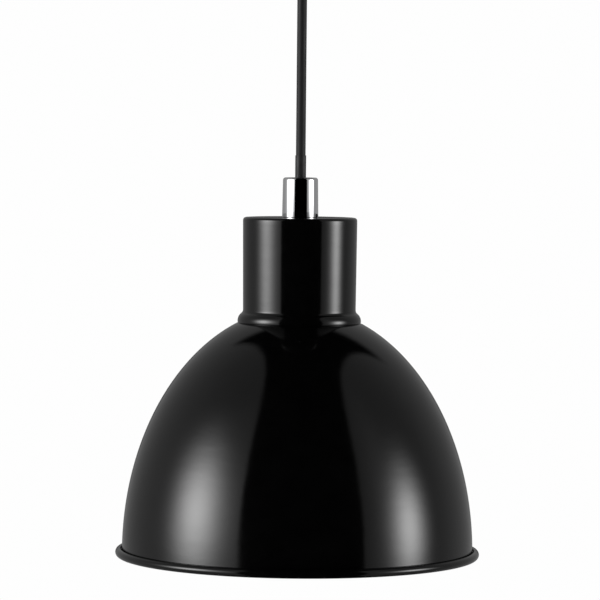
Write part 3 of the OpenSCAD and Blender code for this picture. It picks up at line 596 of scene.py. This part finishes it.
zinc_steel, shader = finish("zinc_steel", (0.62, 0.63, 0.66), 0.32, 1.0)
spangle = noise(zinc_steel, 160, 5)
vary(zinc_steel, shader, noise(zinc_steel, 500, 4, (1, 8, 1)), "Roughness", 0.24, 0.42)
tint(zinc_steel, shader, spangle, (0.55, 0.56, 0.6), (0.7, 0.7, 0.69))
relief(zinc_steel, shader, noise(zinc_steel, 1500, 3, (1, 6, 1)), 0.000006)

brass, shader = finish("brass", (0.72, 0.54, 0.24), 0.25, 1.0)
turning = noise(brass, 700, 4, (1, 1, 5))
vary(brass, shader, turning, "Roughness", 0.18, 0.34)
tint(brass, shader, noise(brass, 120, 3), (0.62, 0.45, 0.19), (0.78, 0.6, 0.3))
relief(brass, shader, turning, 0.000005)

bronze, shader = finish("bronze", (0.66, 0.45, 0.26), 0.28, 1.0)
rolling = noise(bronze, 900, 4, (6, 1, 1))
vary(bronze, shader, rolling, "Roughness", 0.2, 0.36)
tint(bronze, shader, noise(bronze, 150, 3), (0.58, 0.38, 0.2), (0.72, 0.52, 0.32))
relief(bronze, shader, rolling, 0.000004)

nylon, shader = finish("white_nylon", (0.8, 0.79, 0.74), 0.42)
nylon_grain = noise(nylon, 450, 4)
vary(nylon, shader, nylon_grain, "Roughness", 0.36, 0.5)
tint(nylon, shader, noise(nylon, 80, 3), (0.76, 0.75, 0.69), (0.83, 0.82, 0.77))
relief(nylon, shader, nylon_grain, 0.00001)

ceramic, shader = finish("white_ceramic", (0.84, 0.82, 0.76), 0.6)
biscuit = noise(ceramic, 1600, 5)
vary(ceramic, shader, biscuit, "Roughness", 0.5, 0.75)
tint(ceramic, shader, biscuit, (0.76, 0.74, 0.68), (0.88, 0.86, 0.8))
relief(ceramic, shader, biscuit, 0.00002)

for node, name, slot, material, body in (
    ("ceiling_bracket", "strap_bracket", "zinc_steel", zinc_steel, "ceiling"),
    ("cord_saddle", "saddle_strap", "zinc_steel", zinc_steel, "ceiling"),
    ("saddle_screws", "saddle_fixings", "zinc_steel", zinc_steel, "ceiling"),
    ("terminal_block", "terminal_strip", "white_nylon", nylon, "ceiling"),
    ("terminal_tubes", "strip_tubes", "brass", brass, "ceiling"),
    ("terminal_screws", "strip_clamps", "zinc_steel", zinc_steel, "ceiling"),
    ("block_screw", "strip_fixing", "zinc_steel", zinc_steel, "ceiling"),
    ("canopy_nut", "outlet_nut", "black_moulding", moulding, "ceiling"),
    ("grip_collet", "nylon_grip", "white_nylon", nylon, "lamp"),
    ("toothed_washer", "lock_washer", "zinc_steel", zinc_steel, "lamp"),
    ("lock_nut", "nipple_nut", "zinc_steel", zinc_steel, "lamp"),
    ("holder_thread_bush", "holder_bush", "brass", brass, "lamp"),
    ("holder_insert", "ceramic_body", "white_ceramic", ceramic, "lamp"),
    ("centre_contact", "pin_contact", "bronze", bronze, "lamp"),
    ("side_contact", "shell_contact", "bronze", bronze, "lamp"),
    ("terminal_plates", "core_plates", "brass", brass, "lamp"),
    ("holder_terminal_screws", "core_screws", "zinc_steel", zinc_steel, "lamp"),
    ("earth_screw", "earth_fixing", "zinc_steel", zinc_steel, "lamp"),
):
    eased(node, name, body, slot, material)

# ---------------------------------------------------------------------------
# Nipple: a short brass tube threaded all along, which clamps the grip cap, the
# neck and the lampholder together and lets the cord through.
# ---------------------------------------------------------------------------
low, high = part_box("threaded_nipple")
nipple_r = high.x
nipple_bore = 0.00375
thread_pitch = 0.001
outline = [(nipple_bore, low.z), (nipple_r - 0.0006, low.z)]
for i in range(int((high.z - low.z) / thread_pitch)):
    outline += [
        (nipple_r - 0.00002, low.z + thread_pitch * (i + 0.45)),
        (nipple_r - 0.0005, low.z + thread_pitch * (i + 0.95)),
    ]
outline += [(nipple_r - 0.0006, high.z), (nipple_bore, high.z)]
piece(turned(outline, 96), "threaded_tube", "lamp", "brass", ["threaded_nipple"], brass, crease=80)

# ---------------------------------------------------------------------------
# Lampholder: a black moulded cap and skirt that screw together round a ceramic
# body. The skirt has grip flutes, and holds the brass screw shell.
# ---------------------------------------------------------------------------
low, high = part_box("holder_cap")
holder_r = high.x
wall = 0.0022
top = high.z
split = low.z
bush_seat_r = 0.0088
collar_top_r = bush_seat_r + 0.0015
boss_edge = 0.0006
holder_edge = 0.0004
roof_t = 0.002


def shoulder(inner_r, outer_r, foot_z, roof_z, steps):
    """A rounded shoulder, from its inner edge out and down to its foot."""
    turns = [math.pi / 2 * i / steps for i in range(steps + 1)]
    return [
        (inner_r + (outer_r - inner_r) * math.sin(turn), foot_z + (roof_z - foot_z) * math.cos(turn))
        for turn in turns
    ]


piece(
    turned([
        (hole_r, top), *arc(collar_top_r - boss_edge, top - boss_edge, boss_edge, 90, 0, 5),
        *shoulder(collar_top_r, holder_r, top - 0.0115, top - 0.0035, 12),
        (holder_r, split + holder_edge), (holder_r - holder_edge, split), (holder_r - wall, split),
        *reversed(shoulder(bush_seat_r, holder_r - wall, top - 0.0125, top - 0.006, 12)),
        (bush_seat_r, top - roof_t), (hole_r, top - roof_t),
    ], 128),
    "holder_top", "lamp", "black_moulding", ["holder_cap"], moulding,
)

low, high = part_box("holder_skirt")
bore = holder_r - 2 * wall
shell_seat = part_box("screw_shell")[1].z
ledge_w = 0.0012
ledge_z = shell_seat - 0.0016
seat_z = shell_seat - 0.00004
joint_r = holder_r - wall - 0.0001
joint_z = split - 0.00005
waist_r = holder_r - 0.0012
band_edge = 0.0005
foot_edge = 0.001
bm = turned([
    (bore, high.z), (joint_r, high.z), (joint_r, joint_z), (holder_r - holder_edge, joint_z),
    (holder_r, split - band_edge), (holder_r, split - 0.0075),
    *arc(holder_r - band_edge, split - 0.0079, band_edge, 0, -60, 4),
    (waist_r, split - 0.0095), (waist_r, low.z + 1.5 * foot_edge),
    *arc(waist_r - foot_edge, low.z + foot_edge, foot_edge, 0, -90, 5),
    (holder_r - wall - 0.0006, low.z), (bore + 0.0009, shell_seat - 0.003),
    (bore, ledge_z), (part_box("screw_shell")[1].x + ledge_w, ledge_z),
    (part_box("screw_shell")[1].x + ledge_w, seat_z), (bore, seat_z),
], 240)
flute_count = 40
flute_depth = 0.0005
for vert in bm.verts:
    radius = math.hypot(vert.co.x, vert.co.y)
    if radius > waist_r - 0.0001 and low.z + foot_edge < vert.co.z < split - 0.009:
        swell = 0.5 - 0.5 * math.cos(flute_count * math.atan2(vert.co.y, vert.co.x))
        vert.co.xy *= 1 - flute_depth * swell / radius
piece(bm, "holder_skirt_ring", "lamp", "black_moulding", ["holder_skirt"], moulding)


def rolled_thread(radius, start, stop, pitch, depth):
    """The wavy outline of a thread rolled in thin sheet, from one height to another."""
    steps = int(abs(stop - start) / pitch * 10)
    points = []
    for i in range(steps + 1):
        z = start + (stop - start) * i / steps
        wave = 0.5 - 0.5 * math.cos(2 * math.pi * (z - start) / pitch)
        points.append((radius - depth * wave, z))
    return points


low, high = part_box("screw_shell")
lamp_pitch = 0.00362
shell_sheet = 0.0004
shell_hole_r = 0.009
shell_r = high.x
piece(
    turned([
        *rolled_thread(shell_r, low.z, high.z - 0.0022, lamp_pitch, 0.00025),
        (shell_r, high.z), (shell_hole_r, high.z), (shell_hole_r, high.z - shell_sheet),
        (shell_r - shell_sheet, high.z - shell_sheet), (shell_r - shell_sheet, low.z),
    ], 128),
    "brass_shell", "lamp", "brass", ["screw_shell"], brass,
)

# ---------------------------------------------------------------------------
# Cores: PVC-insulated wires, brown, blue and green with a yellow stripe, laid
# by hand from the cord to their terminals in the cup and in the lampholder.
# ---------------------------------------------------------------------------
CORE_R = 0.0011
supply_side = [
    (0.0013, 0.0008, -0.011), (0.0013, 0.0008, -0.0096), (0.0018, -0.0008, -0.0072),
    (0.004, -0.005, -0.0058), (0.007, -0.009, -0.0065), (0.0095, -0.012, -0.008),
    (0.010, -0.015, -0.0085), (0.010, -0.018, -0.0085),
]
supply_middle = [
    (0, -0.0015, -0.011), (0, -0.0015, -0.0096), (0, -0.004, -0.0076), (0, -0.008, -0.0072),
    (0, -0.012, -0.008), (0, -0.015, -0.0085), (0, -0.018, -0.0085),
]
live_side = [
    (-0.0013, 0.0008, -0.213), (-0.0013, 0.0008, -0.2146), (-0.0024, 0.0018, -0.2166),
    (-0.0044, 0.0036, -0.219), (-0.0064, 0.005, -0.2212), (-0.0082, 0.0056, -0.223),
    (-0.011, 0.0056, -0.2236),
]
neutral_side = [
    (0.0013, 0.0008, -0.213), (0.0013, 0.0008, -0.2146), (0.0024, -0.0002, -0.2166),
    (0.0044, -0.0024, -0.219), (0.0064, -0.0046, -0.2212), (0.0082, -0.0056, -0.223),
    (0.011, -0.0056, -0.2236),
]
earth_side = [
    (0, -0.0015, -0.213), (0, -0.0015, -0.2145), (0.0006, -0.003, -0.216), (0.0014, -0.0055, -0.2166),
    (0.0022, -0.0085, -0.216),
]


def core(name, node, body, route, material):
    """An insulated core along its route, as a smooth round tube."""
    curve = bpy.data.curves.new(name, "CURVE")
    curve.dimensions = "3D"
    curve.bevel_depth = CORE_R
    curve.bevel_resolution = 5
    curve.use_fill_caps = True
    line = curve.splines.new("NURBS")
    line.points.add(len(route) - 1)
    for point, place in zip(line.points, route):
        point.co = (*place, 1)
    line.use_endpoint_u = True
    line.order_u = 3
    curve.resolution_u = 6
    curve.materials.append(material)
    laid = bpy.data.objects.new(name, curve)
    bpy.context.scene.collection.objects.link(laid)
    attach(laid, body)
    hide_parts(node)


core_finishes = {}
for slot, dark, light in (
    ("brown_core", (0.1, 0.042, 0.018), (0.14, 0.06, 0.026)),
    ("blue_core", (0.018, 0.08, 0.36), (0.03, 0.11, 0.45)),
    ("green_yellow_core", (0.03, 0.25, 0.05), (0.75, 0.62, 0.03)),
):
    material, shader = finish(slot, light, 0.38)
    sheath = noise(material, 600 if slot != "green_yellow_core" else 260, 3, (1, 1, 0.25))
    vary(material, shader, sheath, "Roughness", 0.32, 0.46)
    tint(material, shader, sheath, dark, light)
    relief(material, shader, sheath, 0.000008)
    core_finishes[slot] = material

supply_mirrored = [(-x, y, z) for x, y, z in supply_side]
for name, node, body, slot, route in (
    ("live_in_cup", "supply_live_core", "ceiling", "brown_core", supply_mirrored),
    ("neutral_in_cup", "supply_neutral_core", "ceiling", "blue_core", supply_side),
    ("earth_in_cup", "supply_earth_core", "ceiling", "green_yellow_core", supply_middle),
    ("live_in_holder", "live_core", "lamp", "brown_core", live_side),
    ("neutral_in_holder", "neutral_core", "lamp", "blue_core", neutral_side),
    ("earth_in_holder", "earth_core", "lamp", "green_yellow_core", earth_side),
):
    core(name, node, body, route, core_finishes[slot])

# ---------------------------------------------------------------------------
# Bulb: a blown opal globe, cemented into a rolled nickel-plated screw cap. The
# cap ends in a black glass insulator that carries the contact pin.
# ---------------------------------------------------------------------------
opal, shader = finish("opal_glass", (0.9, 0.9, 0.87), 0.16)
shader.inputs["Subsurface Weight"].default_value = 0.25
shader.inputs["Subsurface Radius"].default_value = (0.004, 0.004, 0.004)
shader.inputs["Coat Weight"].default_value = 0.4
shader.inputs["Coat Roughness"].default_value = 0.04
vary(opal, shader, noise(opal, 45, 3), "Roughness", 0.12, 0.22)
tint(opal, shader, noise(opal, 30, 2), (0.87, 0.87, 0.84), (0.92, 0.92, 0.9))
relief(opal, shader, noise(opal, 70, 2), 0.00003)

low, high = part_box("bulb_globe")
globe_r = high.x
globe_z = low.z + globe_r
stem_r = 0.0145
glass_wall = 0.0012
join = math.degrees(math.asin((stem_r + 0.003) / globe_r))
shoulder_z = globe_z + globe_r * math.cos(math.radians(join))
mid_z = (shoulder_z + high.z) / 2 + 0.002
outer_stem = [
    (stem_r + 0.0016, mid_z - 0.0006), (stem_r + 0.0008, mid_z + 0.0006),
    (stem_r, high.z - 0.003), (stem_r, high.z),
]
inner_stem = [(x - glass_wall, z) for x, z in reversed(outer_stem)]
piece(
    turned([
        *arc(0, globe_z, globe_r, -90, 90 - join, 44), *outer_stem,
        *inner_stem, *arc(0, globe_z, globe_r - glass_wall, 90 - join, -90, 40),
    ], 160),
    "opal_globe", "bulb", "opal_glass", ["bulb_globe"], opal, crease=50,
)

nickel, shader = finish("nickel_plate", (0.72, 0.7, 0.66), 0.24, 1.0)
plating = noise(nickel, 500, 4, (1, 1, 4))
vary(nickel, shader, plating, "Roughness", 0.18, 0.34)
tint(nickel, shader, noise(nickel, 120, 3), (0.64, 0.62, 0.57), (0.77, 0.75, 0.71))
relief(nickel, shader, plating, 0.000004)
low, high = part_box("bulb_cap")
cap_r = 0.013
cap_sheet = 0.0005
cap_inner_r = cap_r - 0.0009
bead_hole_r = 0.0096
thread_low = low.z + 0.003
thread_high = high.z - 0.002
piece(
    turned([
        (stem_r - glass_wall, low.z), (high.x, low.z), (cap_r, low.z + 0.002),
        *rolled_thread(cap_r, thread_low, thread_high, lamp_pitch, 0.0004),
        (cap_r - 0.0015, high.z), (bead_hole_r, high.z), (bead_hole_r, high.z - cap_sheet),
        (cap_r - 0.0018, high.z - cap_sheet), (cap_inner_r, thread_high),
        (cap_inner_r, thread_low), (stem_r - glass_wall, low.z + 0.001),
    ], 128),
    "rolled_lamp_cap", "bulb", "nickel_plate", ["bulb_cap"], nickel,
)

black_glass, shader = finish("black_glass", (0.012, 0.012, 0.016), 0.12)
melt = noise(black_glass, 300, 3)
vary(black_glass, shader, melt, "Roughness", 0.08, 0.2)
tint(black_glass, shader, melt, (0.009, 0.009, 0.013), (0.02, 0.02, 0.026))
relief(black_glass, shader, melt, 0.00002)
eased("bulb_insulator", "glass_bead", "bulb_seat", "black_glass", black_glass)
eased("bulb_contact_pin", "contact_stud", "bulb", "brass", brass)

# ---------------------------------------------------------------------------
# Studio: a pale floor well below the light, and soft light from a broad box on
# each side with weaker ones beside them. A black card stands in front of the
# light, runs on over it, and gives the enamel its dark middle.
# ---------------------------------------------------------------------------
floor_z = -1.2
floor_r = 5.4
bm = bmesh.new()
bmesh.ops.create_circle(
    bm, segments=96, radius=floor_r, cap_ends=True, matrix=Matrix.Translation((0, 0, floor_z))
)
floor_mesh = bpy.data.meshes.new("floor")
bm.to_mesh(floor_mesh)
bm.free()
floor = bpy.data.objects.new("floor", floor_mesh)
bpy.context.scene.collection.objects.link(floor)
pale, shader = finish("pale_floor", (0.86, 0.86, 0.85), 0.8)
shader.inputs["Emission Color"].default_value = (1, 1, 0.99, 1)
shader.inputs["Emission Strength"].default_value = 0.4
floor_mesh.materials.append(pale)
floor.visible_glossy = False

world = bpy.data.worlds.new("studio")
bpy.context.scene.world = world
world.use_nodes = True
tree = world.node_tree
background = tree.nodes["Background"]


def sum_of(operation, first, second=0.0):
    """One step of arithmetic on the studio's light."""
    step = tree.nodes.new("ShaderNodeMath")
    step.operation = operation
    for socket, value in zip(step.inputs, (first, second)):
        if isinstance(value, (int, float)):
            socket.default_value = value
        else:
            tree.links.new(value, socket)
    return step.outputs["Value"]


def between(value, start, stop):
    """Rises smoothly from 0 to 1 as value goes from start to stop."""
    step = tree.nodes.new("ShaderNodeMapRange")
    step.interpolation_type = "SMOOTHSTEP"
    step.inputs["From Min"].default_value = start
    step.inputs["From Max"].default_value = stop
    tree.links.new(value, step.inputs["Value"])
    return step.outputs["Result"]


towards = tree.nodes.new("ShaderNodeTexCoord")
split_axes = tree.nodes.new("ShaderNodeSeparateXYZ")
tree.links.new(towards.outputs["Generated"], split_axes.inputs["Vector"])
right, back, up = (split_axes.outputs[axis] for axis in "XYZ")
heading = sum_of("ARCTAN2", right, sum_of("MULTIPLY", back, -1.0))
height = sum_of("ARCSINE", up)


def soft_box(heading_at, height_at, half_wide, half_high, power):
    """A softbox: brightest in its middle and fading towards its edges, angles in degrees."""
    off_side = sum_of("SUBTRACT", heading, math.radians(heading_at))
    off_level = sum_of("SUBTRACT", height, math.radians(height_at))
    across = sum_of("DIVIDE", off_side, math.radians(half_wide))
    upward = sum_of("DIVIDE", off_level, math.radians(half_high))
    spread = sum_of("ADD", sum_of("MULTIPLY", across, across), sum_of("MULTIPLY", upward, upward))
    return sum_of("MULTIPLY", sum_of("EXPONENT", sum_of("MULTIPLY", spread, -0.5)), power)


room_level = 0.22
rear_level = 0.04
boxes = (
    soft_box(-71, 9, 11, 11, 9.2), soft_box(78.6, 4, 8.0, 9, 8.4),
    soft_box(-48, 5, 14, 22, 0.45), soft_box(63, 5, 9, 22, 0.3), soft_box(-98, 5, 12, 22, 0.12),
)
light = room_level
for box in boxes:
    light = sum_of("ADD", box, light)
light = sum_of("ADD", light, sum_of("MULTIPLY", between(back, 0.05, 0.6), rear_level))
behind_low = sum_of(
    "MULTIPLY", between(back, 0.95, 1.0), between(sum_of("ABSOLUTE", height), 0.16, 0.02)
)
light = sum_of("MULTIPLY", light, sum_of("SUBTRACT", 1.0, sum_of("MULTIPLY", behind_low, 0.7)))
near_top = sum_of("POWER", up, 2.0)
card_left = sum_of("SUBTRACT", sum_of("MULTIPLY", near_top, 0.32), sum_of("ADD", right, 0.615))
card_right = sum_of("ADD", sum_of("MULTIPLY", near_top, 0.33), sum_of("SUBTRACT", right, 0.69))
beside = sum_of("ADD", between(card_left, -0.015, 0.03), between(card_right, -0.015, 0.03))
behind = between(back, 0.5, 0.62)
clear = sum_of("MINIMUM", sum_of("ADD", beside, behind), 1.0)
studio_light = sum_of("MULTIPLY", light, clear)

seen = tree.nodes.new("ShaderNodeLightPath").outputs["Is Camera Ray"]
lit = sum_of("ADD", sum_of("MULTIPLY", studio_light, sum_of("SUBTRACT", 1.0, seen)), seen)
tree.links.new(lit, background.inputs["Strength"])
background.inputs["Color"].default_value = (0.99, 0.99, 0.99, 1)

bpy.context.scene.view_settings.view_transform = "Standard"
bpy.context.scene.view_settings.look = "None"
